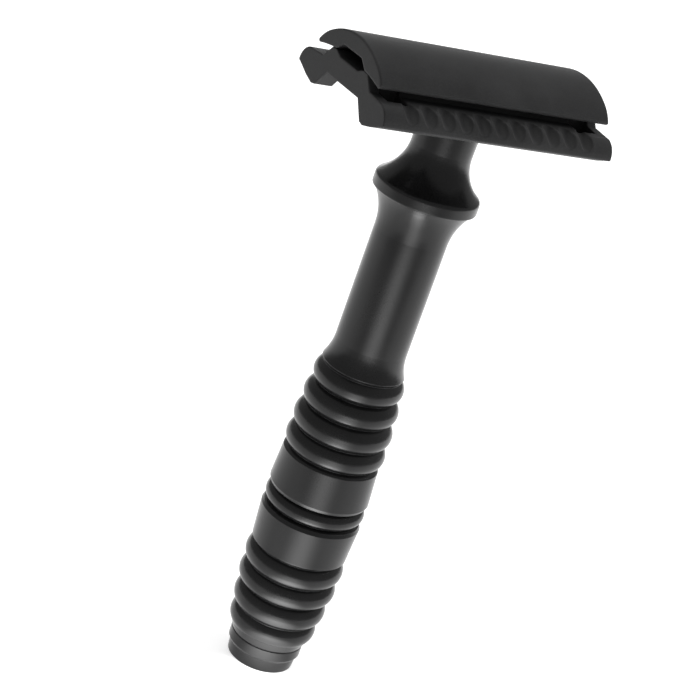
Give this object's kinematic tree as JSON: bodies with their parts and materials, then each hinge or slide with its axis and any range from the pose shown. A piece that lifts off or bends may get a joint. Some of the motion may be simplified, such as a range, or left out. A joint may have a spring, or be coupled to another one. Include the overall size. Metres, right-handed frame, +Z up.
{
  "type": "safety razor",
  "caption": "Matt black double-edge safety razor with a crowned cap, scalloped guard plate and turned handle with a ribbed grip; the head unscrews to take a blade.",
  "frame": {"origin": "centre of the foot's flat end, where the razor stands", "axes": "+Z up the handle's axis, X along the head, the two shaving edges face -Y and +Y"},
  "size_m": [0.042, 0.0258, 0.1064],
  "materials": {
    "black_head": "matt black coating on cast zinc",
    "black_handle": "satin black coating on turned metal",
    "steel": "plain turned steel",
    "brass": "plain turned brass"
  },
  "bodies": {
    "handle": {"neck_collar": "black_handle", "thread_bush": "brass", "handle_tube": "black_handle", "core_rod": "steel", "foot_plug": "black_handle"},
    "guard": {"base_plate": "black_head"},
    "cap": {"cap": "black_head", "cap_post": "steel", "locating_pins": "steel"}
  },
  "joints": [
    {"name": "head_turn", "type": "hinge", "parent": "handle", "child": "guard", "pos_m": [0, 0, 0.09865], "axis": [0, 0, 1], "range_deg": [0, 3240]},
    {"name": "cap_rise", "type": "slide", "parent": "guard", "child": "cap", "axis": [0, 0, 1], "range_m": [0, 0.0072]}
  ],
  "couplings": [
    {"joint": "cap_rise", "follows": "head_turn", "m_per_rad": 0.00012732}
  ]
}
